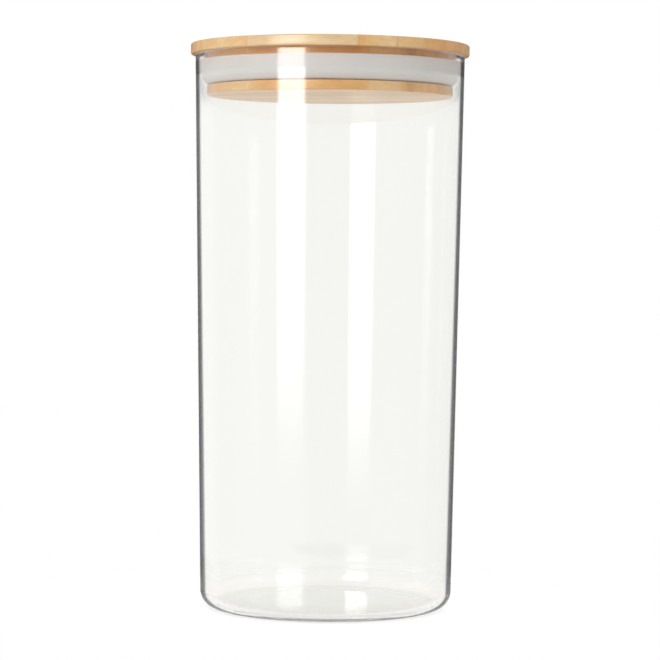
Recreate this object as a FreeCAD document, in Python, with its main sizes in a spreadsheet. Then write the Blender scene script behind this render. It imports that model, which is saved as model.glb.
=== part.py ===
import FreeCAD, Part
import os

import Sketcher

# A tall glass canister with a lift-off bamboo lid.
# The jar is one piece of moulded glass: a drafted wall, a rounded heel, a floor of even thickness
# that is pushed up in the middle so that it stands on a ring, and a fire-polished rim.
# The lid is turned from one board of bamboo staves glued edge to edge: an overhanging flange and
# a plug with a groove round it, so that every stave carries its own slice of each step.
# A silicone lip seal sits in the groove: its flank leads outwards, and its lip stands up along the glass.
# The origin is on the table under the middle of the jar, and +Z points up.

# Driving dimensions in millimetres, and degrees for the angle.
SIZES = {
    # Glass jar
    "jar_height": 215.5,
    "mouth_radius": 52.5,
    "mouth_bore": 50.75,
    "base_radius": 49.0,
    "base_bore": 47.0,
    "floor_thickness": 2.5,
    "heel_radius": 6.8,
    "inner_heel_radius": 4.7,
    "rim_round": 0.8,
    "push_up_radius": 38.0,
    "push_up_height": 0.8,
    # Bamboo lid
    "lid_radius": 54.3,
    "board_thickness": 20.0,
    "flange_thickness": 4.0,
    "plug_radius": 47.9,
    "groove_radius": 44.0,
    "groove_height": 5.4,
    "lower_disc_thickness": 3.7,
    "flange_ease": 0.5,
    "plug_ease": 0.4,
    "rim_gap": 0.1,
    "stave_count": 14,
    "stave_width": 8.2,
    "board_shift": -0.8,
    "grain_angle": 12.0,
    # Silicone lip seal
    "seal_fit": 0.05,
    "seal_seat_gap": 0.1,
    "seal_height": 9.6,
    "lip_radius": 50.55,
    "lip_thickness": 1.4,
    "lip_round": 0.45,
    "flank_height": 3.9,
    "flank_depth": 3.2,
    "flank_round": 2.0,
    "web_thickness": 3.6,
    "channel_radius": 0.8,
    "band_inset": 0.4,
    "band_round": 0.3,
}

# Heights and radii that follow from the driving dimensions, as expressions on the sheet.
FLANGE_UNDERSIDE = "(Sizes.jar_height + Sizes.rim_gap)"
LID_TOP = f"({FLANGE_UNDERSIDE} + Sizes.flange_thickness)"
LID_BOTTOM = f"({LID_TOP} - Sizes.board_thickness)"
LOWER_DISC_TOP = f"({LID_BOTTOM} + Sizes.lower_disc_thickness)"
GROOVE_TOP = f"({LOWER_DISC_TOP} + Sizes.groove_height)"
BORE_AT_FLOOR = (
    "(Sizes.base_bore + (Sizes.mouth_bore - Sizes.base_bore) * Sizes.floor_thickness / Sizes.jar_height)"
)
FLOOR_CROWN = "(Sizes.floor_thickness + Sizes.push_up_height)"
SEAL_BOTTOM = f"({LOWER_DISC_TOP} + Sizes.seal_seat_gap)"
SEAL_TOP = f"({SEAL_BOTTOM} + Sizes.seal_height)"
WEB_TOP = f"({SEAL_BOTTOM} + Sizes.web_thickness)"
BAND_TOP = f"({GROOVE_TOP} - Sizes.seal_seat_gap)"
BAND_INSIDE = "(Sizes.groove_radius + Sizes.seal_fit)"
BAND_OUTSIDE = "(Sizes.plug_radius - Sizes.band_inset)"
LIP_INSIDE = "(Sizes.lip_radius - Sizes.lip_thickness)"
FLANK_FOOT = "(Sizes.lip_radius - Sizes.flank_depth)"
FLANK_TOP = f"({SEAL_BOTTOM} + Sizes.flank_height)"
BOARD_FRONT = "(Sizes.board_shift - Sizes.stave_count * Sizes.stave_width / 2)"
BOARD_LENGTH = "(2 * Sizes.lid_radius + Sizes.stave_width)"

ON_AXIS = "0"
ON_TABLE = "0"
SAME_PLACE = 1e-4


def make_sheet(doc):
    """Put every driving dimension in a spreadsheet cell that carries its name."""
    sheet = doc.addObject("Spreadsheet::Sheet", "Sizes")
    for row, (alias, value) in enumerate(SIZES.items(), start=1):
        sheet.set(f"A{row}", alias)
        sheet.set(f"B{row}", str(value))
        sheet.setAlias(f"B{row}", alias)
    doc.recompute()
    return sheet


def half_section(body, name, corners, domed_side=None):
    """Draw a closed half-section whose corners (radius, height) are bound to the sheet.

    The side that starts at corner number domed_side is an arc centred on the axis of the body.
    """
    sketch = body.newObject("Sketcher::SketchObject", name)
    plane = next(item for item in body.Origin.OriginFeatures if item.Role == "XZ_Plane")
    sketch.AttachmentSupport = (plane, [""])
    sketch.MapMode = "FlatFace"
    points = [
        FreeCAD.Vector(sketch.evalExpression(radius), sketch.evalExpression(height), 0)
        for radius, height in corners
    ]
    for number, start in enumerate(points):
        end = points[(number + 1) % len(points)]
        if number == domed_side:
            sketch.addGeometry(dome_arc(start, end))
        else:
            sketch.addGeometry(Part.LineSegment(start, end))
    for number in range(len(points)):
        following = (number + 1) % len(points)
        sketch.addConstraint(Sketcher.Constraint("Coincident", number, 2, following, 1))
    if domed_side is not None:
        sketch.addConstraint(Sketcher.Constraint("PointOnObject", domed_side, 3, -2))
    for number, (radius, height) in enumerate(corners):
        bind_distance(sketch, "DistanceX", number, radius, axis=-2)
        bind_distance(sketch, "DistanceY", number, height, axis=-1)
    return sketch


def dome_arc(start, end):
    """Give the arc from the rim of a dome to its crown, with its centre on the axis."""
    rise = end.y - start.y
    centre_height = end.y - (start.x**2 + rise**2) / (2 * rise)
    circle = Part.Circle(FreeCAD.Vector(0, centre_height, 0), FreeCAD.Vector(0, 0, 1), end.y - centre_height)
    return Part.ArcOfCircle(circle, circle.parameter(start), circle.parameter(end))


def bind_distance(sketch, kind, corner, expression, axis):
    """Hold one coordinate of a corner, either on a sketch axis or at a distance from the sheet."""
    if expression in (ON_AXIS, ON_TABLE):
        sketch.addConstraint(Sketcher.Constraint("PointOnObject", corner, 1, axis))
        return
    value = sketch.evalExpression(expression)
    index = sketch.addConstraint(Sketcher.Constraint(kind, -1, 1, corner, 1, value))
    label = f"{kind}_{corner}"
    sketch.renameConstraint(index, label)
    sketch.setExpression(f"Constraints.{label}", expression)


def turn(body, kind, name, corners, domed_side=None):
    """Revolve a half-section about the axis of the body, as new material or as a groove."""
    sketch = half_section(body, f"{name}_section", corners, domed_side)
    before = body.Shape.Volume if kind == "PartDesign::Groove" else None
    feature = body.newObject(kind, name)
    feature.Profile = sketch
    feature.ReferenceAxis = (sketch, ["V_Axis"])
    feature.Angle = 360
    body.Document.recompute()
    if before is not None and body.Shape.Volume >= before:
        raise RuntimeError(f"{name} removed nothing from {body.Label}")
    return feature


def round_rings(body, name, base, radius, rings):
    """Fillet the circular edges of the base feature that lie at the given (radius, height) places."""
    fillet = body.newObject("PartDesign::Fillet", name)
    places = [(fillet.evalExpression(ring), fillet.evalExpression(height)) for ring, height in rings]
    edges = [
        f"Edge{number}"
        for number, edge in enumerate(base.Shape.Edges, start=1)
        if any(is_ring(edge, ring, height) for ring, height in places)
    ]
    if len(edges) != len(rings):
        raise RuntimeError(f"{name} found {len(edges)} edges for {len(rings)} rings")
    fillet.Base = (base, edges)
    fillet.setExpression("Radius", radius)
    body.Document.recompute()
    return fillet


def is_ring(edge, radius, height):
    """Say whether an edge is a circle about the axis at this radius and height."""
    if edge.Degenerated or not isinstance(edge.Curve, Part.Circle):
        return False
    return abs(edge.Curve.Radius - radius) < SAME_PLACE and abs(edge.Curve.Center.z - height) < SAME_PLACE


def make_jar(doc):
    """The glass jar: a drafted wall on a domed floor, rounded at heel and rim."""
    jar = doc.addObject("PartDesign::Body", "GlassJar")
    jar.Label = "glass_jar"
    outside = [
        (ON_AXIS, ON_TABLE),
        ("Sizes.base_radius", ON_TABLE),
        ("Sizes.mouth_radius", "Sizes.jar_height"),
        (ON_AXIS, "Sizes.jar_height"),
    ]
    hollow = [
        (BORE_AT_FLOOR, "Sizes.floor_thickness"),
        ("Sizes.push_up_radius", "Sizes.floor_thickness"),
        (ON_AXIS, FLOOR_CROWN),
        (ON_AXIS, "Sizes.jar_height"),
        ("Sizes.mouth_bore", "Sizes.jar_height"),
    ]
    push_up = [
        (ON_AXIS, ON_TABLE),
        ("Sizes.push_up_radius", ON_TABLE),
        (ON_AXIS, "Sizes.push_up_height"),
    ]
    turn(jar, "PartDesign::Revolution", "Outside", outside)
    turn(jar, "PartDesign::Groove", "Hollow", hollow, domed_side=1)
    shell = turn(jar, "PartDesign::Groove", "PushUp", push_up, domed_side=1)
    heel = round_rings(jar, "Heel", shell, "Sizes.heel_radius", [("Sizes.base_radius", ON_TABLE)])
    floor = round_rings(
        jar, "InnerHeel", heel, "Sizes.inner_heel_radius", [(BORE_AT_FLOOR, "Sizes.floor_thickness")]
    )
    rim = [("Sizes.mouth_radius", "Sizes.jar_height"), ("Sizes.mouth_bore", "Sizes.jar_height")]
    round_rings(jar, "FirePolishedRim", floor, "Sizes.rim_round", rim)
    return jar


def make_seal(doc):
    """The lip seal: a band that fills the groove, and a flank that leads out to a lip along the glass."""
    seal = doc.addObject("PartDesign::Body", "LipSeal")
    seal.Label = "lip_seal"
    section = [
        (BAND_INSIDE, SEAL_BOTTOM),
        (FLANK_FOOT, SEAL_BOTTOM),
        ("Sizes.lip_radius", FLANK_TOP),
        ("Sizes.lip_radius", SEAL_TOP),
        (LIP_INSIDE, SEAL_TOP),
        (LIP_INSIDE, WEB_TOP),
        (BAND_OUTSIDE, WEB_TOP),
        (BAND_OUTSIDE, BAND_TOP),
        (BAND_INSIDE, BAND_TOP),
    ]
    ring = turn(seal, "PartDesign::Revolution", "Ring", section)
    flank_edges = [(FLANK_FOOT, SEAL_BOTTOM), ("Sizes.lip_radius", FLANK_TOP)]
    flank = round_rings(seal, "Flank", ring, "Sizes.flank_round", flank_edges)
    channel_edges = [(LIP_INSIDE, WEB_TOP), (BAND_OUTSIDE, WEB_TOP)]
    channel = round_rings(seal, "Channel", flank, "Sizes.channel_radius", channel_edges)
    lip_edges = [("Sizes.lip_radius", SEAL_TOP), (LIP_INSIDE, SEAL_TOP)]
    lip = round_rings(seal, "LipEdge", channel, "Sizes.lip_round", lip_edges)
    band_edges = [(BAND_OUTSIDE, BAND_TOP), (BAND_INSIDE, BAND_TOP), (BAND_INSIDE, SEAL_BOTTOM)]
    round_rings(seal, "BandEdge", lip, "Sizes.band_round", band_edges)
    return seal


def make_turned_lid(doc):
    """The whole lid as it leaves the lathe: an eased flange, and a plug with the groove for the seal."""
    lid = doc.addObject("PartDesign::Body", "TurnedLid")
    stepped = [
        (ON_AXIS, LID_BOTTOM),
        ("Sizes.plug_radius", LID_BOTTOM),
        ("Sizes.plug_radius", FLANGE_UNDERSIDE),
        ("Sizes.lid_radius", FLANGE_UNDERSIDE),
        ("Sizes.lid_radius", LID_TOP),
        (ON_AXIS, LID_TOP),
    ]
    groove = [
        ("Sizes.groove_radius", LOWER_DISC_TOP),
        ("Sizes.lid_radius", LOWER_DISC_TOP),
        ("Sizes.lid_radius", GROOVE_TOP),
        ("Sizes.groove_radius", GROOVE_TOP),
    ]
    turn(lid, "PartDesign::Revolution", "Stepped", stepped)
    grooved = turn(lid, "PartDesign::Groove", "SealGroove", groove)
    flange_edges = [("Sizes.lid_radius", height) for height in (FLANGE_UNDERSIDE, LID_TOP)]
    flange = round_rings(lid, "FlangeEase", grooved, "Sizes.flange_ease", flange_edges)
    plug_edges = [("Sizes.plug_radius", height) for height in (LID_BOTTOM, LOWER_DISC_TOP, GROOVE_TOP)]
    round_rings(lid, "PlugEase", flange, "Sizes.plug_ease", plug_edges)
    return lid


def make_staves(doc, sheet, turned_lid):
    """The staves of the lid: each is the slice of the turned lid inside its own strip of board."""
    staves = []
    for number in range(int(sheet.stave_count)):
        strip = doc.addObject("Part::Box", f"Strip{number + 1:02d}")
        strip.setExpression("Length", BOARD_LENGTH)
        strip.setExpression("Width", "Sizes.stave_width")
        strip.setExpression("Height", "Sizes.board_thickness")
        near_side = f"({BOARD_FRONT} + {number} * Sizes.stave_width)"
        along, across = f"{BOARD_LENGTH} / 2", near_side
        angle = "Sizes.grain_angle * 1 deg"
        strip.setExpression("Placement.Base.x", f"{across} * sin({angle}) - {along} * cos({angle})")
        strip.setExpression("Placement.Base.y", f"{across} * cos({angle}) + {along} * sin({angle})")
        strip.setExpression("Placement.Base.z", LID_BOTTOM)
        strip.setExpression("Placement.Rotation.Angle", f"-{angle}")
        stave = doc.addObject("Part::Common", f"Stave{number + 1:02d}")
        stave.Label = f"lid_stave_{number + 1:02d}"
        stave.Base = turned_lid
        stave.Tool = strip
        staves.append(stave)
    doc.recompute()
    return staves


def check(doc, sub_parts):
    """Stop before anything is written if an object failed or a sub-part isn't one sound solid."""
    for item in doc.Objects:
        if "Invalid" in item.State or "Error" in item.State:
            raise RuntimeError(f"{item.Label} is {item.State}")
    for sub_part in sub_parts:
        shape = sub_part.Shape
        if shape.isNull() or not shape.isValid() or len(shape.Solids) != 1:
            raise RuntimeError(f"{sub_part.Label} isn't one valid solid")


def main():
    """Build the canister and write one file for each of its pieces."""
    doc = FreeCAD.newDocument("GlassCanister")
    sheet = make_sheet(doc)
    turned_lid = make_turned_lid(doc)
    sub_parts = [make_jar(doc), make_seal(doc), *make_staves(doc, sheet, turned_lid)]
    doc.recompute()
    check(doc, sub_parts)
    os.makedirs("parts", exist_ok=True)
    for sub_part in sub_parts:
        sub_part.Shape.exportStep(f"parts/{sub_part.Label}.step")
        print(f"{sub_part.Label}: {sub_part.Shape.Volume / 1000:.2f} cm3")


main()
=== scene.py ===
import logging
import math
from dataclasses import dataclass
from enum import Enum
from typing import Any, NamedTuple

import bmesh
import bpy
from mathutils import Matrix, Vector


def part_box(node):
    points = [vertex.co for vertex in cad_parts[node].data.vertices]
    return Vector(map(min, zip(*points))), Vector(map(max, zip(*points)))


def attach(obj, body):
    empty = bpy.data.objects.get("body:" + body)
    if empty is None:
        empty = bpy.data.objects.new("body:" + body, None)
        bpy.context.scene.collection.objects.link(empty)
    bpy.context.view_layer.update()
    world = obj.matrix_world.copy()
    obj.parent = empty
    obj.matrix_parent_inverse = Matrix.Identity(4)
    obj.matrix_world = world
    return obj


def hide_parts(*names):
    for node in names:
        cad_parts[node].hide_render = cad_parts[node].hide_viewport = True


# A tall glass canister with a bamboo lid and a silicone lip seal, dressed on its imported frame.
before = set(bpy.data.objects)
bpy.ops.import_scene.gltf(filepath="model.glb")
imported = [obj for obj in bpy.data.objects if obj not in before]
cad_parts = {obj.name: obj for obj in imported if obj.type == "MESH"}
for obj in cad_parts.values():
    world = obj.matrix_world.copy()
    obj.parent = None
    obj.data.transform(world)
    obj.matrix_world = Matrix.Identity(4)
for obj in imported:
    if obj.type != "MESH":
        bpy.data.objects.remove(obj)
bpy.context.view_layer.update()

MM = 0.001
SPIN_STEPS = 256
MERGE_DISTANCE = 1e-7
SOFTBOX_BEARING = math.radians(32.0)
LOG = logging.getLogger("canister")

Colour = tuple[float, float, float, float]


def paint(red: int, green: int, blue: int) -> Colour:
    """Turn a colour as a screen shows it, 0 to 255, into the linear colour of a shader.

    Args:
        red: The red part.
        green: The green part.
        blue: The blue part.

    Returns:
        The linear colour, fully opaque.
    """
    parts = [value / 255 for value in (red, green, blue)]
    linear = [part / 12.92 if part <= 0.04045 else ((part + 0.055) / 1.055) ** 2.4 for part in parts]
    return (*linear, 1.0)


class Ease(NamedTuple):
    """A smooth change from one level to another between two readings."""

    start: float
    end: float
    low: float = 0.0
    high: float = 1.0


class Nodes:
    """Adds and links the nodes of one material, world or group."""

    def __init__(self, tree: bpy.types.NodeTree) -> None:
        """Start from an empty tree."""
        self.tree = tree
        tree.nodes.clear()

    def add(self, kind: str, inputs: dict[Any, Any] | None = None, **settings: Any) -> bpy.types.Node:
        """Add a node and fill its inputs.

        Args:
            kind: The class of the node.
            inputs: Values, or sockets to link, by the name or number of the input.
            settings: Properties of the node itself.

        Returns:
            The new node.
        """
        node = self.tree.nodes.new(kind)
        for key, value in settings.items():
            setattr(node, key, value)
        for key, value in (inputs or {}).items():
            if isinstance(value, bpy.types.NodeSocket):
                self.tree.links.new(value, node.inputs[key])
            else:
                node.inputs[key].default_value = value
        return node

    def maths(self, operation: str, *values: Any, clamp: bool = False) -> bpy.types.NodeSocket:
        """Work out one number from others.

        Args:
            operation: The name of the sum.
            values: Numbers or sockets, in order.
            clamp: Whether the result is kept between 0 and 1.

        Returns:
            The socket that holds the result.
        """
        node = self.add("ShaderNodeMath", dict(enumerate(values)), operation=operation, use_clamp=clamp)
        return node.outputs[0]

    def blend(self, share: Any, first: Any, second: Any, mode: str = "MIX") -> bpy.types.NodeSocket:
        """Mix two colours.

        Args:
            share: How much of the second colour shows.
            first: The colour underneath.
            second: The colour on top.
            mode: How the second is laid over the first.

        Returns:
            The socket that holds the mixed colour.
        """
        inputs = {"Factor": share, 6: first, 7: second}
        node = self.add("ShaderNodeMix", inputs, data_type="RGBA", blend_type=mode)
        return node.outputs[2]

    def span(
        self, value: Any, start: float, end: float, low: float = 0.0, high: float = 1.0
    ) -> bpy.types.NodeSocket:
        """Ease a value from one level to another as it crosses a span.

        Args:
            value: The number or socket to read.
            start: Where the change begins.
            end: Where it ends.
            low: The level at the start.
            high: The level at the end.

        Returns:
            The socket that holds the level.
        """
        inputs = {"Value": value, "From Min": start, "From Max": end, "To Min": low, "To Max": high}
        return self.add("ShaderNodeMapRange", inputs, interpolation_type="SMOOTHSTEP").outputs["Result"]

    def height(self, place: Any) -> bpy.types.NodeSocket:
        """Read the height of a place."""
        return self.add("ShaderNodeSeparateXYZ", {0: place}).outputs["Z"]

    def outward(self, place: Any) -> bpy.types.NodeSocket:
        """Drop the height of a place, which leaves the way out to it from the upright axis."""
        return self.add("ShaderNodeVectorMath", {0: place, 1: (1, 1, 0)}, operation="MULTIPLY").outputs[0]

    def length(self, vector: Any) -> bpy.types.NodeSocket:
        """Measure a vector."""
        return self.add("ShaderNodeVectorMath", {0: vector}, operation="LENGTH").outputs["Value"]

    def along(self, vector: Any, way: Any) -> bpy.types.NodeSocket:
        """Measure how far a vector runs along another."""
        return self.add("ShaderNodeVectorMath", {0: vector, 1: way}, operation="DOT_PRODUCT").outputs["Value"]

    def bounced(self, path: Any) -> bpy.types.NodeSocket:
        """Mark the rays that a surface has just mirrored, and not those that glass has let through."""
        return self.maths("SUBTRACT", path["Is Glossy Ray"], path["Is Transmission Ray"], clamp=True)


def new_material(name: str) -> tuple[bpy.types.Material, Nodes]:
    """Make an empty node material.

    Args:
        name: What the finish is called.

    Returns:
        The material and the builder of its nodes.
    """
    material = bpy.data.materials.new(name)
    material.use_nodes = True
    return material, Nodes(material.node_tree)


@dataclass(frozen=True)
class Corner:
    """One corner of a half-section, with the radius that rounds it."""

    radius: float
    height: float
    rounding: float = 0.0


@dataclass(frozen=True)
class Turning:
    """A half-section that is rounded at its corners and spun about the upright axis."""

    name: str
    corners: tuple[Corner, ...]
    closed: bool
    degrees_per_facet: float = 5.0
    fewest_facets: int = 3
    holding_edge: float = 0.25 * MM
    longest_bare_edge: float = 1.0 * MM

    def build(self) -> bpy.types.Object:
        """Draw the section, round it, spin it and close it.

        Returns:
            The finished object, at the origin.
        """
        shape = bmesh.new()
        verts = [shape.verts.new((corner.radius, 0, corner.height)) for corner in self.corners]
        ends = verts[1:] + verts[:1] if self.closed else verts[1:]
        for start, end in zip(verts, ends):
            shape.edges.new((start, end))
        for vert, corner in zip(verts, self.corners):
            if corner.rounding > 0:
                self.round_corner(shape, vert, corner.rounding)
        self.hold_straights(shape)
        section = shape.verts[:] + shape.edges[:]
        bmesh.ops.spin(
            shape,
            geom=section,
            cent=(0, 0, 0),
            axis=(0, 0, 1),
            angle=math.tau,
            steps=SPIN_STEPS,
            use_merge=True,
        )
        bmesh.ops.remove_doubles(shape, verts=shape.verts[:], dist=MERGE_DISTANCE)
        bmesh.ops.recalc_face_normals(shape, faces=shape.faces[:])
        for face in shape.faces:
            face.smooth = True
        return finish_mesh(self.name, shape)

    def round_corner(self, shape: bmesh.types.BMesh, vert: bmesh.types.BMVert, radius: float) -> None:
        """Round one corner of the section with an arc of this radius.

        Args:
            shape: The mesh that holds the section.
            vert: The corner.
            radius: The radius of the arc.
        """
        sides = [edge.other_vert(vert).co - vert.co for edge in vert.link_edges]
        angle = sides[0].angle(sides[1])
        facets = max(self.fewest_facets, round(math.degrees(math.pi - angle) / self.degrees_per_facet))
        bmesh.ops.bevel(
            shape,
            geom=[vert],
            offset=radius / math.tan(angle / 2),
            offset_type="OFFSET",
            segments=facets,
            profile=0.5,
            affect="VERTICES",
            material=-1,
        )

    def hold_straights(self, shape: bmesh.types.BMesh) -> None:
        """Split each long straight side close to its ends, so that smooth shading stays in the rounded parts.

        Args:
            shape: The mesh that holds the section.
        """
        for edge in shape.edges[:]:
            length = edge.calc_length()
            if length > self.longest_bare_edge:
                start, end = edge.verts
                share = self.holding_edge / length
                rest = bmesh.utils.edge_split(edge, start, share)[0]
                long_part = edge if end in edge.verts else rest
                bmesh.utils.edge_split(long_part, end, share / (1 - share))


def finish_mesh(name: str, shape: bmesh.types.BMesh) -> bpy.types.Object:
    """Turn a bmesh into an object of the scene.

    Args:
        name: The name of the piece.
        shape: The mesh, which is freed.

    Returns:
        The object, at the origin.
    """
    mesh = bpy.data.meshes.new(name)
    shape.to_mesh(mesh)
    shape.free()
    piece = bpy.data.objects.new(name, mesh)
    bpy.context.scene.collection.objects.link(piece)
    return piece


def dress(piece: bpy.types.Object, material: bpy.types.Material) -> None:
    """Give a piece one material all over."""
    piece.data.materials.clear()
    piece.data.materials.append(material)


@dataclass(frozen=True)
class ClearGlass:
    """Clear moulded glass, whose outside is darkened by painted shade where the wall is seen edge on, with a
    painted shadow of the flange over the rim.
    """

    name: str = "clear_glass"
    body_tone: Colour = paint(252, 252, 250)
    # Painted shade: the edge tone darkens the outside of the wall where it is seen edge on, in place of the
    # dark room refracted at the outlines; the thick and rim gains widen that band low down and just under the
    # flange.
    painted_edge_shade: Colour = paint(52, 52, 53)
    edge_start: float = 0.715
    edge_full: float = 0.79
    outline_start: float = 0.86
    outline_share: float = 0.45
    thick_top: float = 200.0 * MM
    thick_gain: float = 0.035
    rim_bottom: float = 213.3 * MM
    rim_full: float = 214.2 * MM
    rim_gain: float = 0.12
    # Painted shadow of the flange over the top of the rim.
    rim_shadow_start: float = 214.6 * MM
    rim_shadow_full: float = 214.9 * MM
    painted_rim_shadow_share: float = 0.2
    lid_bottom: float = 199.6 * MM
    lid_fade: float = 1.0 * MM
    top_slant: float = 0.15
    top_end: float = 0.8
    heel_slant: float = -0.85
    heel_end: float = -1.0
    bending: float = 1.5
    ripple_scale: float = 35.0
    ripple_detail: float = 1.0
    ripple_depth: float = 0.004 * MM

    def make(self) -> bpy.types.Material:
        """Build the material.

        Returns:
            Glass that lets lamps shine through it.
        """
        material, nodes = new_material(self.name)
        place = nodes.add("ShaderNodeTexCoord").outputs
        # Painted shade: the body tone darkens to the edge tone where the mask is full.
        tone = nodes.blend(self.painted_shade_mask(nodes, place), self.body_tone, self.painted_edge_shade)
        ripple = nodes.add(
            "ShaderNodeTexNoise",
            {"Vector": place["Object"], "Scale": self.ripple_scale, "Detail": self.ripple_detail},
        )
        bump = nodes.add("ShaderNodeBump", {"Height": ripple.outputs["Fac"], "Distance": self.ripple_depth})
        glass = nodes.add("ShaderNodeBsdfPrincipled", {"Base Color": tone, "Normal": bump.outputs["Normal"]})
        glass.inputs["Roughness"].default_value = 0.0
        glass.inputs["IOR"].default_value = self.bending
        glass.inputs["Transmission Weight"].default_value = 1.0
        path = nodes.add("ShaderNodeLightPath").outputs
        soft = nodes.maths("MAXIMUM", path["Is Shadow Ray"], path["Is Diffuse Ray"])
        unbent = nodes.maths("MAXIMUM", soft, self.lid_gloss(nodes, path, place))
        clear = nodes.add("ShaderNodeBsdfTransparent")
        mix = nodes.add("ShaderNodeMixShader", {0: unbent, 1: glass.outputs[0], 2: clear.outputs[0]})
        nodes.add("ShaderNodeOutputMaterial", {"Surface": mix.outputs[0]})
        return material

    def lid_gloss(self, nodes: Nodes, path: Any, place: Any) -> bpy.types.NodeSocket:
        """Mark the gloss of the plug and the seal behind the wall, which leaves through it unbent.

        Args:
            nodes: The builder of the material.
            path: The light path.
            place: The texture coordinates.

        Returns:
            A mask of such rays.
        """
        height = nodes.height(place["Object"])
        high = nodes.span(height, self.lid_bottom, self.lid_bottom + self.lid_fade)
        crossed = path["Transmission Depth"]
        in_air = nodes.maths("LESS_THAN", nodes.maths("MODULO", crossed, 2.0), 0.5)
        behind = nodes.maths("MULTIPLY", in_air, nodes.maths("GREATER_THAN", crossed, 0.5))
        return nodes.maths("MULTIPLY", nodes.maths("MULTIPLY", high, behind), nodes.bounced(path))

    def painted_shade_mask(self, nodes: Nodes, place: Any) -> bpy.types.NodeSocket:
        """Mark the painted shade on the glass: the outside of the upright wall where it turns away from the
        eye.

        Args:
            nodes: The builder of the material.
            place: The texture coordinates.

        Returns:
            A mask of painted shade that is full along the outlines of the wall, and fades out over the rim
            and under the heel, with a light painted shadow of the flange over the top of the rim.
        """
        facing = nodes.add("ShaderNodeLayerWeight").outputs["Facing"]
        outline = nodes.span(facing, self.outline_start, 1.0, 1.0, self.outline_share)
        height = nodes.height(place["Object"])
        thicker = nodes.span(height, 0.0, self.thick_top, self.thick_gain, 0.0)
        rounder = nodes.span(height, self.rim_bottom, self.rim_full, 0.0, self.rim_gain)
        edge_on = nodes.maths("ADD", nodes.maths("ADD", facing, thicker), rounder)
        turned = nodes.maths("MULTIPLY", nodes.span(edge_on, self.edge_start, self.edge_full), outline)
        outward = nodes.along(place["Normal"], nodes.outward(place["Object"]))
        outside = nodes.maths("GREATER_THAN", outward, 0.0)
        backface = nodes.add("ShaderNodeNewGeometry").outputs["Backfacing"]
        entering = nodes.maths("SUBTRACT", outside, backface, clamp=True)
        slant = nodes.height(place["Normal"])
        below_rim = nodes.span(slant, self.top_slant, self.top_end, 1.0, 0.0)
        above_heel = nodes.span(slant, self.heel_end, self.heel_slant)
        upright = nodes.maths("MULTIPLY", below_rim, above_heel)
        # Painted shadow of the flange over the top of the rim, laid on the painted outline shade.
        lip = nodes.span(height, self.rim_shadow_start, self.rim_shadow_full, 0.0, self.painted_rim_shadow_share)
        painted_shade_share = nodes.maths("MAXIMUM", nodes.maths("MULTIPLY", turned, upright), lip)
        return nodes.maths("MULTIPLY", painted_shade_share, entering)


@dataclass(frozen=True)
class MilkySilicone:
    """Soft translucent silicone with a dull skin and a faint cloudiness."""

    name: str = "milky_silicone"
    tone: Colour = paint(230, 227, 222)
    cloud_tone: Colour = paint(222, 218, 212)
    cloud_scale: float = 60.0
    cloud_detail: float = 2.0
    cloud_dullness: Ease = Ease(0.3, 0.7, 0.42, 0.52)
    skin_scale: float = 1800.0
    skin_detail: float = 1.0
    skin_depth: float = 0.02 * MM
    bending: float = 1.41
    sheen: float = 0.2
    soak: float = 1.0
    soak_depth: float = 4.0 * MM
    soak_spread: tuple[float, float, float] = (1.0, 0.95, 0.85)

    def make(self) -> bpy.types.Material:
        """Build the material.

        Returns:
            Silicone that light soaks into.
        """
        material, nodes = new_material(self.name)
        place = nodes.add("ShaderNodeTexCoord").outputs["Object"]
        clouds = nodes.add(
            "ShaderNodeTexNoise", {"Vector": place, "Scale": self.cloud_scale, "Detail": self.cloud_detail}
        )
        tone = nodes.blend(clouds.outputs["Fac"], self.tone, self.cloud_tone)
        skin = nodes.add(
            "ShaderNodeTexNoise", {"Vector": place, "Scale": self.skin_scale, "Detail": self.skin_detail}
        )
        bump = nodes.add("ShaderNodeBump", {"Height": skin.outputs["Fac"], "Distance": self.skin_depth})
        dullness = nodes.span(clouds.outputs["Fac"], *self.cloud_dullness)
        silicone = nodes.add(
            "ShaderNodeBsdfPrincipled",
            {"Base Color": tone, "Roughness": dullness, "Normal": bump.outputs["Normal"]},
        )
        silicone.inputs["IOR"].default_value = self.bending
        silicone.inputs["Specular IOR Level"].default_value = self.sheen
        silicone.inputs["Subsurface Weight"].default_value = self.soak
        silicone.inputs["Subsurface Radius"].default_value = self.soak_spread
        silicone.inputs["Subsurface Scale"].default_value = self.soak_depth
        nodes.add("ShaderNodeOutputMaterial", {"Surface": silicone.outputs[0]})
        return material


class Tone(Enum):
    """The tones of the bamboo staves: the light wood, the dark wood and how far the middle deepens."""

    PALE = (paint(238, 207, 161), paint(229, 193, 146), 0.0)
    RUSSET = (paint(242, 206, 156), paint(233, 192, 138), 1.0)
    STRAW = (paint(242, 204, 152), paint(233, 189, 133), 0.0)
    HONEY = (paint(239, 193, 133), paint(230, 178, 114), 0.0)
    AMBER = (paint(237, 187, 131), paint(226, 170, 110), 0.0)


@dataclass(frozen=True)
class Mark:
    """A dark mark in the wood: its tone, and how much of it shows."""

    tone: Colour
    share: float


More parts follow.
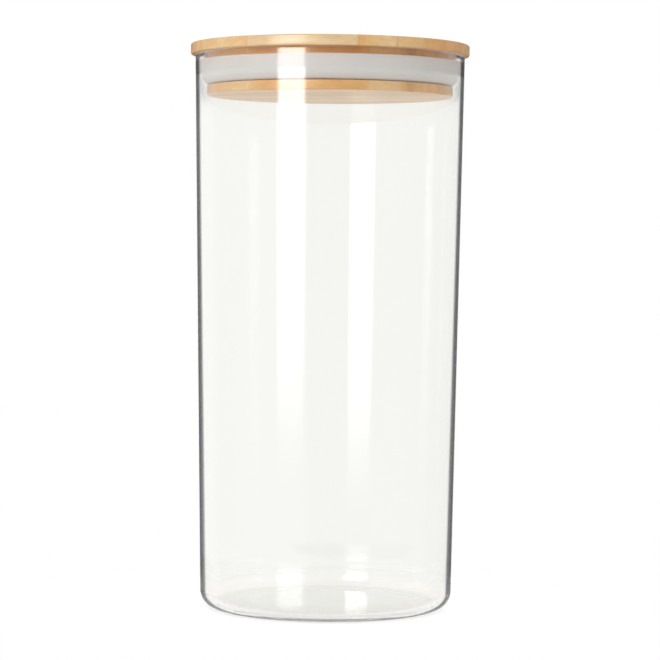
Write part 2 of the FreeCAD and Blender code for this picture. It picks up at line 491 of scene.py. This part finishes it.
@dataclass(frozen=True)
class BambooGrain:
    """The grain of bamboo staves: fibres along the stave, darker bundles, growth nodes and glue lines, with
    painted shade on the neck under the flange.
    """

    name: str = "Bamboo grain"
    grain_angle: float = math.radians(12.0)
    board_front: float = -58.2 * MM
    stave_width: float = 8.2 * MM
    stave_lean: float = 0.35
    shuffle: float = 3.0
    fibre_width: float = 0.55 * MM
    fibre_length: float = 45.0 * MM
    fibre_detail: float = 2.0
    fibre_shade: Ease = Ease(0.35, 0.7, 1.03, 0.95)
    fibre_dullness: Ease = Ease(0.3, 0.7, 0.26, 0.36)
    band_width: float = 3.0 * MM
    band_length: float = 160.0 * MM
    band_detail: float = 1.0
    band_mix: Ease = Ease(0.25, 0.75)
    bundle_spacing: float = 0.95 * MM
    bundle_length: float = 14.0 * MM
    bundle_dot: Ease = Ease(0.12, 0.34, 1.0, 0.0)
    bundle_relief: float = 0.5
    bundle_mark: Mark = Mark(paint(150, 98, 50), 0.12)
    node_reach: float = 150.0 * MM
    node_width: float = 2.4 * MM
    node_mark: Mark = Mark(paint(158, 108, 58), 0.30)
    glue_width: float = 0.13 * MM
    glue_mark: Mark = Mark(paint(140, 92, 48), 0.2)
    neck_bottom: float = 208.5 * MM
    flange_bottom: float = 215.7 * MM
    neck_radius: float = 48.2 * MM
    neck_fade: float = 1.0 * MM
    neck_foot: float = 212.8 * MM
    neck_top: float = 215.4 * MM
    # Painted shade on the neck under the flange: warmer and browner at its foot, darker at its top, in place
    # of the flange's shadow and the bounce light between wood surfaces.
    painted_shade_at_neck_foot: Colour = (1.15, 1.03, 0.77, 1.0)
    painted_shade_under_flange: Colour = (0.98, 0.86, 0.60, 1.0)
    heart_middle: float = 2.0 * MM
    heart_reach: float = 17.0 * MM
    heart_end: float = 28.0 * MM
    heart_shade: Colour = (0.925, 0.74, 0.49, 1.0)

    def make(self) -> bpy.types.NodeTree:
        """Build the node group.

        Returns:
            A group that gives a colour, a roughness and a height for each place in the wood.
        """
        group = bpy.data.node_groups.new(self.name, "ShaderNodeTree")
        for label in ("Light wood", "Dark wood"):
            group.interface.new_socket(label, in_out="INPUT", socket_type="NodeSocketColor")
        group.interface.new_socket("Heart", in_out="INPUT", socket_type="NodeSocketFloat")
        group.interface.new_socket("Colour", in_out="OUTPUT", socket_type="NodeSocketColor")
        group.interface.new_socket("Roughness", in_out="OUTPUT", socket_type="NodeSocketFloat")
        group.interface.new_socket("Height", in_out="OUTPUT", socket_type="NodeSocketFloat")
        nodes = Nodes(group)
        wood = nodes.add("NodeGroupInput").outputs
        along, across, upright, stave = self.stave_places(nodes)
        chance = nodes.add("ShaderNodeTexWhiteNoise", {"W": stave}, noise_dimensions="1D").outputs["Color"]
        first, second, third = nodes.add("ShaderNodeSeparateColor", {"Color": chance}).outputs
        shifted = nodes.maths("MULTIPLY_ADD", first, self.shuffle, along)
        places = (shifted, across, upright)
        fibre = self.streaks(nodes, places, (self.fibre_length, self.fibre_width), self.fibre_detail)
        band = self.streaks(nodes, places, (self.band_length, self.band_width), self.band_detail)
        bundle = self.bundles(nodes, places)
        growth = self.growth_node(nodes, along, second, fibre)
        glue = self.glue_line(nodes, across)
        lean = nodes.maths("MULTIPLY_ADD", nodes.maths("SUBTRACT", third, 0.5), self.stave_lean, band)
        colour = nodes.blend(nodes.span(lean, *self.band_mix), wood["Light wood"], wood["Dark wood"])
        colour = nodes.blend(1.0, colour, self.grey(nodes, nodes.span(fibre, *self.fibre_shade)), "MULTIPLY")
        for mask, mark in ((bundle, self.bundle_mark), (growth, self.node_mark), (glue, self.glue_mark)):
            colour = nodes.blend(nodes.maths("MULTIPLY", mask, mark.share), colour, mark.tone)
        heart = nodes.maths("MULTIPLY", self.deep_middle(nodes, along), wood["Heart"])
        colour = nodes.blend(heart, colour, self.heart_shade, "MULTIPLY")
        # Painted shade on the neck: browner at its foot and darker under the flange.
        rise = nodes.span(upright, self.neck_foot, self.neck_top)
        painted_neck_shade = nodes.blend(rise, self.painted_shade_at_neck_foot, self.painted_shade_under_flange)
        colour = nodes.blend(self.painted_neck_shade_mask(nodes), colour, painted_neck_shade, "MULTIPLY")
        rough = nodes.span(fibre, *self.fibre_dullness)
        height = nodes.maths("SUBTRACT", fibre, nodes.maths("MULTIPLY", bundle, self.bundle_relief))
        nodes.add("NodeGroupOutput", {"Colour": colour, "Roughness": rough, "Height": height})
        return group

    def stave_places(self, nodes: Nodes) -> tuple[bpy.types.NodeSocket, ...]:
        """Find each place in the board.

        Args:
            nodes: The builder of the group.

        Returns:
            The distances along the grain, across it and upwards, and the number of the stave.
        """
        place = nodes.add("ShaderNodeTexCoord").outputs["Object"]
        turned = nodes.add("ShaderNodeMapping", {"Vector": place, "Rotation": (0, 0, self.grain_angle)})
        along, across, upright = nodes.add("ShaderNodeSeparateXYZ", {0: turned.outputs[0]}).outputs
        from_front = nodes.maths("SUBTRACT", across, self.board_front)
        stave = nodes.maths("FLOOR", nodes.maths("DIVIDE", from_front, self.stave_width))
        return along, across, upright, stave

    def streaks(
        self, nodes: Nodes, places: tuple[Any, ...], sizes: tuple[float, float], detail: float
    ) -> bpy.types.NodeSocket:
        """Make a noise that is drawn out along the grain.

        Args:
            nodes: The builder of the group.
            places: The distances along, across and up.
            sizes: The length and the width of a streak.
            detail: How much finer noise is laid over it.

        Returns:
            The strength of the noise.
        """
        vector = self.drawn_out(nodes, places, sizes)
        noise = nodes.add("ShaderNodeTexNoise", {"Vector": vector, "Scale": 1.0, "Detail": detail})
        return noise.outputs["Fac"]

    def drawn_out(
        self, nodes: Nodes, places: tuple[Any, ...], sizes: tuple[float, float]
    ) -> bpy.types.NodeSocket:
        """Scale the places in the wood, so that a pattern on them is drawn out along the grain.

        Args:
            nodes: The builder of the group.
            places: The distances along, across and up.
            sizes: The length and the width of one cell of the pattern.

        Returns:
            The vector that the pattern reads.
        """
        length, width = sizes
        scaled = [nodes.maths("DIVIDE", place, size) for place, size in zip(places, (length, width, width))]
        return nodes.add("ShaderNodeCombineXYZ", dict(enumerate(scaled))).outputs[0]

    def bundles(self, nodes: Nodes, places: tuple[Any, ...]) -> bpy.types.NodeSocket:
        """Mark the dark bundles of vessels, which are dashes along the grain and dots on its ends.

        Args:
            nodes: The builder of the group.
            places: The distances along, across and up.

        Returns:
            A mask of the bundles.
        """
        vector = self.drawn_out(nodes, places, (self.bundle_length, self.bundle_spacing))
        cells = nodes.add("ShaderNodeTexVoronoi", {"Vector": vector, "Scale": 1.0}).outputs["Distance"]
        return nodes.span(cells, *self.bundle_dot)

    def growth_node(self, nodes: Nodes, along: Any, chance: Any, fibre: Any) -> bpy.types.NodeSocket:
        """Mark where a stave crosses a growth node of the cane.

        Args:
            nodes: The builder of the group.
            along: The distance along the grain.
            chance: A random number for the stave.
            fibre: The noise of the fibres, which frays the mark.

        Returns:
            A mask of the mark.
        """
        middle = nodes.maths("MULTIPLY", nodes.maths("SUBTRACT", chance, 0.5), 2 * self.node_reach)
        frayed = nodes.maths("MULTIPLY_ADD", fibre, self.node_width, along)
        off = nodes.maths("ABSOLUTE", nodes.maths("SUBTRACT", frayed, middle))
        return nodes.span(off, 0.0, self.node_width, 1.0, 0.0)

    def glue_line(self, nodes: Nodes, across: Any) -> bpy.types.NodeSocket:
        """Mark the thin glue line between two staves.

        Args:
            nodes: The builder of the group.
            across: The distance across the staves.

        Returns:
            A mask of the line.
        """
        from_front = nodes.maths("SUBTRACT", across, self.board_front)
        lane = nodes.maths("PINGPONG", from_front, self.stave_width)
        nearest = nodes.maths("MINIMUM", lane, nodes.maths("SUBTRACT", self.stave_width, lane))
        return nodes.span(nearest, 0.0, self.glue_width, 1.0, 0.0)

    def deep_middle(self, nodes: Nodes, along: Any) -> bpy.types.NodeSocket:
        """Mark the middle stretch of a stave, where its wood may be deeper.

        Args:
            nodes: The builder of the group.
            along: The distance along the grain.

        Returns:
            A mask of the stretch.
        """
        off = nodes.maths("ABSOLUTE", nodes.maths("SUBTRACT", along, self.heart_middle))
        return nodes.span(off, self.heart_reach, self.heart_end, 1.0, 0.0)

    def painted_neck_shade_mask(self, nodes: Nodes) -> bpy.types.NodeSocket:
        """Mark the neck between the seal and the flange, where painted shade and painted warm bounce light
        brown the wood, darkest under the flange.

        Args:
            nodes: The builder of the group.

        Returns:
            A mask of the neck.
        """
        place = nodes.add("ShaderNodeTexCoord").outputs["Object"]
        height = nodes.height(place)
        off = nodes.length(nodes.outward(place))
        above = nodes.maths("GREATER_THAN", height, self.neck_bottom)
        below = nodes.maths("LESS_THAN", height, self.flange_bottom)
        inside = nodes.span(off, self.neck_radius, self.neck_radius + self.neck_fade, 1.0, 0.0)
        return nodes.maths("MULTIPLY", nodes.maths("MULTIPLY", above, below), inside)

    def grey(self, nodes: Nodes, level: Any) -> bpy.types.NodeSocket:
        """Turn a level into a grey of that level."""
        return nodes.add("ShaderNodeCombineColor", {0: level, 1: level, 2: level}).outputs[0]


@dataclass(frozen=True)
class OiledBamboo:
    """Sanded bamboo under a thin satin oil."""

    tone: Tone
    grain: bpy.types.NodeTree
    grain_depth: float = 0.03 * MM
    bending: float = 1.48

    def make(self) -> bpy.types.Material:
        """Build the material.

        Returns:
            Bamboo in this tone.
        """
        material, nodes = new_material(f"bamboo_{self.tone.name.lower()}")
        light, dark, heart = self.tone.value
        grain = nodes.add("ShaderNodeGroup", node_tree=self.grain)
        grain.inputs["Light wood"].default_value = light
        grain.inputs["Dark wood"].default_value = dark
        grain.inputs["Heart"].default_value = heart
        bump = nodes.add("ShaderNodeBump", {"Height": grain.outputs["Height"], "Distance": self.grain_depth})
        wood = nodes.add(
            "ShaderNodeBsdfPrincipled",
            {
                "Base Color": grain.outputs["Colour"],
                "Roughness": grain.outputs["Roughness"],
                "Normal": bump.outputs["Normal"],
            },
        )
        wood.inputs["IOR"].default_value = self.bending
        nodes.add("ShaderNodeOutputMaterial", {"Surface": wood.outputs[0]})
        return material


@dataclass
class Jar:
    """The moulded glass jar: a drafted wall, a rounded heel, a pushed-up floor and a fire-polished rim."""

    node: str = "glass_jar"
    body: str = "jar"
    slot: str = "glass"
    mouth_bore: float = 50.75 * MM
    base_radius: float = 49.0 * MM
    base_bore: float = 47.0 * MM
    floor_thickness: float = 2.5 * MM
    heel_radius: float = 6.8 * MM
    inner_heel_radius: float = 4.7 * MM
    rim_round: float = 0.8 * MM
    push_up_radius: float = 38.0 * MM
    push_up_height: float = 0.8 * MM
    push_up_steps: int = 48

    def build(self) -> bpy.types.Object:
        """Model the jar.

        Returns:
            The piece that stands for the jar's solid.
        """
        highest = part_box(self.node)[1]
        mouth_radius, height = highest.x, highest.z
        bore_slope = (self.mouth_bore - self.base_bore) / height
        bore_at_floor = self.base_bore + bore_slope * self.floor_thickness
        corners = (
            *self.dome(0.0),
            Corner(self.base_radius, 0.0, self.heel_radius),
            Corner(mouth_radius, height, self.rim_round),
            Corner(self.mouth_bore, height, self.rim_round),
            Corner(bore_at_floor, self.floor_thickness, self.inner_heel_radius),
            *reversed(self.dome(self.floor_thickness)),
        )
        piece = Turning("jar_glass", corners, closed=False).build()
        dress(piece, ClearGlass().make())
        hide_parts(self.node)
        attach(piece, self.body)
        return piece

    def dome(self, level: float) -> list[Corner]:
        """Follow one face of the pushed-up floor.

        Args:
            level: The height of the flat ring round the dome.

        Returns:
            The half-section of the dome, from its crown to the ring.
        """
        sphere = (self.push_up_radius**2 + self.push_up_height**2) / (2 * self.push_up_height)
        radii = [self.push_up_radius * step / self.push_up_steps for step in range(self.push_up_steps + 1)]
        middle = level + self.push_up_height - sphere
        return [Corner(radius, middle + math.sqrt(sphere**2 - radius**2)) for radius in radii]


@dataclass
class Seal:
    """The lip seal: a band that fills the groove, and a flank that leads out to a lip along the glass."""

    node: str = "lip_seal"
    body: str = "seal"
    slot: str = "silicone"
    band_inside: float = 44.05 * MM
    band_outside: float = 47.5 * MM
    band_height: float = 5.2 * MM
    band_round: float = 0.3 * MM
    web_thickness: float = 3.6 * MM
    channel_radius: float = 0.8 * MM
    lip_thickness: float = 1.4 * MM
    lip_round: float = 0.45 * MM
    lip_spread: float = 0.21 * MM
    flank_spread: float = 0.10 * MM
    flank_height: float = 3.0 * MM
    flank_depth: float = 3.2 * MM
    flank_round: float = 3.5 * MM
    foot_round: float = 3.5 * MM

    def build(self) -> bpy.types.Object:
        """Model the seal, whose lip spreads until it lies against the drafted wall of the glass.

        Returns:
            The piece that stands for the seal's solid.
        """
        lowest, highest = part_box(self.node)
        bottom, top, lip = lowest.z, highest.z, highest.x
        channel_floor = bottom + self.web_thickness
        band_top = bottom + self.band_height
        lip_inside = lip - self.lip_thickness
        corners = (
            Corner(self.band_inside, bottom, self.band_round),
            Corner(lip - self.flank_depth, bottom, self.foot_round),
            Corner(lip + self.flank_spread, bottom + self.flank_height, self.flank_round),
            Corner(lip + self.lip_spread, top, self.lip_round),
            Corner(lip_inside, top, self.lip_round),
            Corner(lip_inside, channel_floor, self.channel_radius),
            Corner(self.band_outside, channel_floor, self.channel_radius),
            Corner(self.band_outside, band_top, self.band_round),
            Corner(self.band_inside, band_top, self.band_round),
        )
        piece = Turning("seal_ring", corners, closed=True).build()
        dress(piece, MilkySilicone().make())
        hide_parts(self.node)
        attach(piece, self.body)
        return piece


@dataclass
class Lid:
    """The bamboo lid: staves glued edge to edge, in mixed tones, counted from the front."""

    node_start: str = "lid_stave_"
    tones: tuple[Tone, ...] = (
        Tone.PALE,
        Tone.RUSSET,
        Tone.STRAW,
        Tone.HONEY,
        Tone.AMBER,
        Tone.AMBER,
        Tone.HONEY,
        Tone.STRAW,
        Tone.HONEY,
        Tone.PALE,
        Tone.STRAW,
        Tone.HONEY,
        Tone.STRAW,
        Tone.PALE,
    )

    def dress(self) -> list[bpy.types.Object]:
        """Give each stave its tone of bamboo.

        Returns:
            The staves, from front to back.
        """
        grain = BambooGrain().make()
        finishes = {tone: OiledBamboo(tone, grain).make() for tone in Tone}
        names = sorted(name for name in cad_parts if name.startswith(self.node_start))
        staves = [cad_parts[name] for name in names]
        for stave, tone in zip(staves, self.tones, strict=True):
            dress(stave, finishes[tone])
        return staves


@dataclass(frozen=True)
class Softbox:
    """A tall softbox to the left of the camera, whose face dims softly towards its edges."""

    bearing: float = SOFTBOX_BEARING
    distance: float = 0.8
    width: float = 0.39
    side_fade: float = 0.07
    bottom: float = -0.053
    bottom_fade: float = 0.30
    top: float = 0.75
    lamp_bottom: float = 0.1
    lamp_radiance: float = 2.8
    face_radiance: float = 8.0

    def build(self) -> bpy.types.Object:
        """Hang the lamp and its face.

        Returns:
            The face, which only reflections and glass show.
        """
        away = Vector((-math.sin(self.bearing), -math.cos(self.bearing), 0.0))
        turn = (-away).to_track_quat("-Z", "Y").to_matrix().to_4x4()
        self.lamp(away * self.distance, turn)
        return self.face(away * self.distance, turn)

    def lamp(self, foot: Vector, turn: Matrix) -> None:
        """Hang the lamp that lights the canister.

        Args:
            foot: The place on the floor under the lamp.
            turn: The way that it faces.
        """
        height = self.top - self.lamp_bottom
        data = bpy.data.lights.new("softbox", "AREA")
        data.shape = "RECTANGLE"
        data.size = self.width
        data.size_y = height
        data.energy = self.lamp_radiance * math.pi * self.width * height
        lamp = bpy.data.objects.new("softbox", data)
        bpy.context.scene.collection.objects.link(lamp)
        lamp.matrix_world = Matrix.Translation(foot + Vector((0, 0, self.lamp_bottom + height / 2))) @ turn
        lamp.visible_glossy = False
        lamp.visible_transmission = False

    def face(self, foot: Vector, turn: Matrix) -> bpy.types.Object:
        """Stretch the glowing face that reflections show.

        Args:
            foot: The place on the floor under the face.
            turn: The way that it faces.

        Returns:
            The face.
        """
        height = self.top - self.bottom
        shape = bmesh.new()
        bmesh.ops.create_grid(shape, x_segments=1, y_segments=1, size=0.5)
        bmesh.ops.scale(shape, verts=shape.verts[:], vec=(self.width, height, 1.0))
        face = finish_mesh("softbox_face", shape)
        face.matrix_world = Matrix.Translation(foot + Vector((0, 0, self.bottom + height / 2))) @ turn
        face.visible_camera = False
        face.visible_diffuse = False
        face.visible_shadow = False
        dress(face, self.face_glow(height))
        return face

    def face_glow(self, height: float) -> bpy.types.Material:
        """Build the material of the face.

        Args:
            height: The height of the face.

        Returns:
            A glow that dims to nothing at the sides and the foot.
        """
        material, nodes = new_material("softbox_face")
        place = nodes.add("ShaderNodeTexCoord").outputs["Object"]
        sideways, upwards, _ = nodes.add("ShaderNodeSeparateXYZ", {0: place}).outputs
        half = self.width / 2
        side = nodes.span(nodes.maths("ABSOLUTE", sideways), half - self.side_fade, half, 1.0, 0.0)
        rise = nodes.span(upwards, -height / 2, self.bottom_fade - height / 2)
        share = nodes.maths("MULTIPLY", side, rise)
        glow = nodes.add("ShaderNodeEmission")
        glow.inputs["Strength"].default_value = self.face_radiance
        clear = nodes.add("ShaderNodeBsdfTransparent")
        shown = nodes.add("ShaderNodeMixShader", {0: share, 1: clear.outputs[0], 2: glow.outputs[0]})
        nodes.add("ShaderNodeOutputMaterial", {"Surface": shown.outputs[0]})
        return material


@dataclass(frozen=True)
class Floor:
    """A white floor with a painted shadow under the canister, that fades out into white and is polished in
    the glass.
    """

    reach: float = 0.20
    segments: int = 64
    level: float = -0.1 * MM
    tone: Colour = (0.8, 0.8, 0.8, 1.0)
    shadow_reach: float = 0.06
    shadow_end: float = 0.15
    glow: float = 0.40
    # Painted shadow: the glow dips to a lower level under the canister.
    painted_shadow_glow: float = 0.13
    painted_shadow_reach: float = 0.040
    painted_shadow_fade_end: float = 0.050
    polish_bending: float = 2.4
    polish_roughness: float = 0.05
    polish_edge: float = 0.155
    strip_bearing: float = SOFTBOX_BEARING
    strip_start: float = 0.052
    strip_full: float = 0.060

    def build(self) -> bpy.types.Object:
        """Lay the floor.

        Returns:
            The floor.
        """
        shape = bmesh.new()
        bmesh.ops.create_circle(shape, cap_ends=True, segments=self.segments, radius=self.reach)
        bmesh.ops.translate(shape, verts=shape.verts[:], vec=(0, 0, self.level))
        floor = finish_mesh("floor", shape)
        dress(floor, self.finish())
        return floor

    def finish(self) -> bpy.types.Material:
        """Build the material.

        Returns:
            White that is polished where the glass mirrors it.
        """
        material, nodes = new_material("white_floor")
        path = nodes.add("ShaderNodeLightPath").outputs
        place = nodes.add("ShaderNodeTexCoord").outputs["Object"]
        off = nodes.length(place)
        polish = nodes.add("ShaderNodeBsdfGlossy")
        polish.inputs["Roughness"].default_value = self.polish_roughness
        white = self.white(nodes, path, off)
        mirrored = self.mirrored(nodes, path, place, off)
        both = nodes.add("ShaderNodeMixShader", {0: mirrored, 1: white, 2: polish.outputs[0]})
        nodes.add("ShaderNodeOutputMaterial", {"Surface": both.outputs[0]})
        material.cycles.emission_sampling = "NONE"
        return material

    def white(self, nodes: Nodes, path: Any, off: Any) -> bpy.types.NodeSocket:
        """Make the matt white, which glows to the eye, glows less in a painted shadow under the canister, and
        fades out away from the canister.

        Args:
            nodes: The builder of the material.
            path: The light path.
            off: The distance from the axis.

        Returns:
            The shader of the white.
        """
        matt = nodes.add("ShaderNodeBsdfDiffuse")
        matt.inputs["Color"].default_value = self.tone
        seen = nodes.maths("MAXIMUM", path["Is Camera Ray"], path["Is Transmission Ray"])
        # Painted shadow: the glow is lower under the canister.
        level = nodes.span(off, self.painted_shadow_reach, self.painted_shadow_fade_end, self.painted_shadow_glow, self.glow)
        glow = nodes.add("ShaderNodeEmission", {"Strength": nodes.maths("MULTIPLY", seen, level)})
        near = nodes.add("ShaderNodeAddShader", {0: matt.outputs[0], 1: glow.outputs[0]})
        far = nodes.add("ShaderNodeBsdfTransparent")
        fade = nodes.span(off, self.shadow_reach, self.shadow_end)
        return nodes.add("ShaderNodeMixShader", {0: fade, 1: near.outputs[0], 2: far.outputs[0]}).outputs[0]

    def mirrored(self, nodes: Nodes, path: Any, place: Any, off: Any) -> bpy.types.NodeSocket:
        """Mark what the glass shows of the polish: all that its outside mirrors, and a strip by the softbox.

        Args:
            nodes: The builder of the material.
            path: The light path.
            place: The place on the floor.
            off: The distance from the axis.

        Returns:
            The share of the polish.
        """
        sheen = nodes.add("ShaderNodeFresnel", {"IOR": self.polish_bending}).outputs[0]
        ahead = (-math.sin(self.strip_bearing), -math.cos(self.strip_bearing), 0.0)
        strip = nodes.span(nodes.along(place, ahead), self.strip_start, self.strip_full)
        within = nodes.maths("MULTIPLY", nodes.maths("MINIMUM", path["Glossy Depth"], 1.0), strip)
        shown = nodes.maths("MULTIPLY", sheen, nodes.maths("MAXIMUM", nodes.bounced(path), within))
        inside = nodes.span(off, self.polish_edge, self.reach, 1.0, 0.0)
        return nodes.maths("MULTIPLY", shown, inside)


@dataclass(frozen=True)
class Surroundings:
    """The studio all round: white to the eye and through glass, dimmer in reflections and as light."""

    ambient: float = 0.71
    reflected_left: float = 0.55
    reflected_right: float = 0.25
    rear_start: float = 0.2
    rear_full: float = 0.65
    rear_gain: float = 1.8
    sweep_edge: float = 0.040
    sweep_end: float = 0.056
    flag_start: float = 0.78
    flag_full: float = 0.95
    flag_level: float = 0.12
    dark_left: float = -0.3
    dark_right: float = 0.63
    dark_edge: float = 0.04
    dark_level: float = 0.15

    def build(self) -> bpy.types.World:
        """Make the world.

        Returns:
            The world.
        """
        world = bpy.data.worlds.new("studio")
        world.use_nodes = True
        nodes = Nodes(world.node_tree)
        path = nodes.add("ShaderNodeLightPath").outputs
        dimmed = nodes.maths("SUBTRACT", self.reflected(nodes), self.ambient)
        glossy = nodes.maths("MULTIPLY", path["Is Glossy Ray"], dimmed)
        seen = nodes.maths("MAXIMUM", path["Is Camera Ray"], path["Is Transmission Ray"])
        strength = nodes.maths("MAXIMUM", nodes.maths("ADD", glossy, self.ambient), seen)
        light = nodes.add("ShaderNodeBackground", {"Strength": strength})
        light.inputs["Color"].default_value = (1.0, 1.0, 1.0, 1.0)
        nodes.add("ShaderNodeOutputWorld", {"Surface": light.outputs[0]})
        return world

    def reflected(self, nodes: Nodes) -> bpy.types.NodeSocket:
        """Work out what reflections show: a dim room, dark in front, with a flag and a bright sweep behind.

        Args:
            nodes: The builder of the world.

        Returns:
            The level of the room in each direction.
        """
        way = nodes.add("ShaderNodeTexCoord").outputs["Generated"]
        sideways, backwards, upwards = nodes.add("ShaderNodeSeparateXYZ", {0: way}).outputs
        side = nodes.span(sideways, -1.0, 1.0, self.reflected_left, self.reflected_right)
        flag = nodes.span(backwards, self.flag_start, self.flag_full, 1.0, self.flag_level)
        left, right, edge = self.dark_left, self.dark_right, self.dark_edge
        right_of_edge = nodes.span(sideways, left - edge, left + edge)
        left_of_edge = nodes.span(sideways, right - edge, right + edge, 1.0, 0.0)
        in_front = nodes.maths("LESS_THAN", backwards, 0.0)
        dark = nodes.maths("MULTIPLY", nodes.maths("MULTIPLY", right_of_edge, left_of_edge), in_front)
        room = nodes.span(dark, 0.0, 1.0, 1.0, self.dark_level)
        low = nodes.span(upwards, self.sweep_edge, self.sweep_end, self.rear_gain - 1, 0.0)
        rear = nodes.maths("MULTIPLY_ADD", nodes.span(backwards, self.rear_start, self.rear_full), low, 1.0)
        sides = nodes.maths("MULTIPLY", side, flag)
        return nodes.maths("MULTIPLY", sides, nodes.maths("MULTIPLY", room, rear))


@dataclass(frozen=True)
class Viewpoint:
    """Where the photograph was taken from."""

    lens: float = 137.87
    sensor: float = 36.0
    distance: float = 989.5 * MM
    height: float = 139.8 * MM
    pitch: float = math.radians(1.806)
    roll: float = math.radians(0.52)
    yaw: float = math.radians(0.051)

    def build(self) -> bpy.types.Object:
        """Stand the camera there.

        Returns:
            The camera.
        """
        data = bpy.data.cameras.new("camera")
        data.lens = self.lens
        data.sensor_width = self.sensor
        camera = bpy.data.objects.new("camera", data)
        bpy.context.scene.collection.objects.link(camera)
        place = Matrix.Translation((0.0, -self.distance, self.height))
        turn = Matrix.Rotation(-self.yaw, 4, "Z") @ Matrix.Rotation(math.pi / 2 - self.pitch, 4, "X")
        camera.matrix_world = place @ turn @ Matrix.Rotation(self.roll, 4, "Z")
        return camera


@dataclass(frozen=True)
class Studio:
    """The camera, the softbox, the white surroundings and the floor."""

    glass_bounces: int = 64

    def set_up(self) -> None:
        """Place everything round the canister, and let light run on inside the glass."""
        scene = bpy.context.scene
        scene.view_settings.view_transform = "Standard"
        scene.cycles.max_bounces = self.glass_bounces
        scene.cycles.glossy_bounces = self.glass_bounces
        scene.cycles.transmission_bounces = self.glass_bounces
        scene.camera = Viewpoint().build()
        scene.world = Surroundings().build()
        Softbox().build()
        Floor().build()


def main() -> None:
    """Dress the canister piece by piece, and set the studio up round it."""
    logging.basicConfig(level=logging.INFO, format="%(name)s: %(message)s")
    pieces = [Jar().build(), Seal().build(), *Lid().dress()]
    for piece in pieces:
        LOG.info("%s has %d faces", piece.name, len(piece.data.polygons))
    Studio().set_up()


if __name__ == "__main__":
    main()
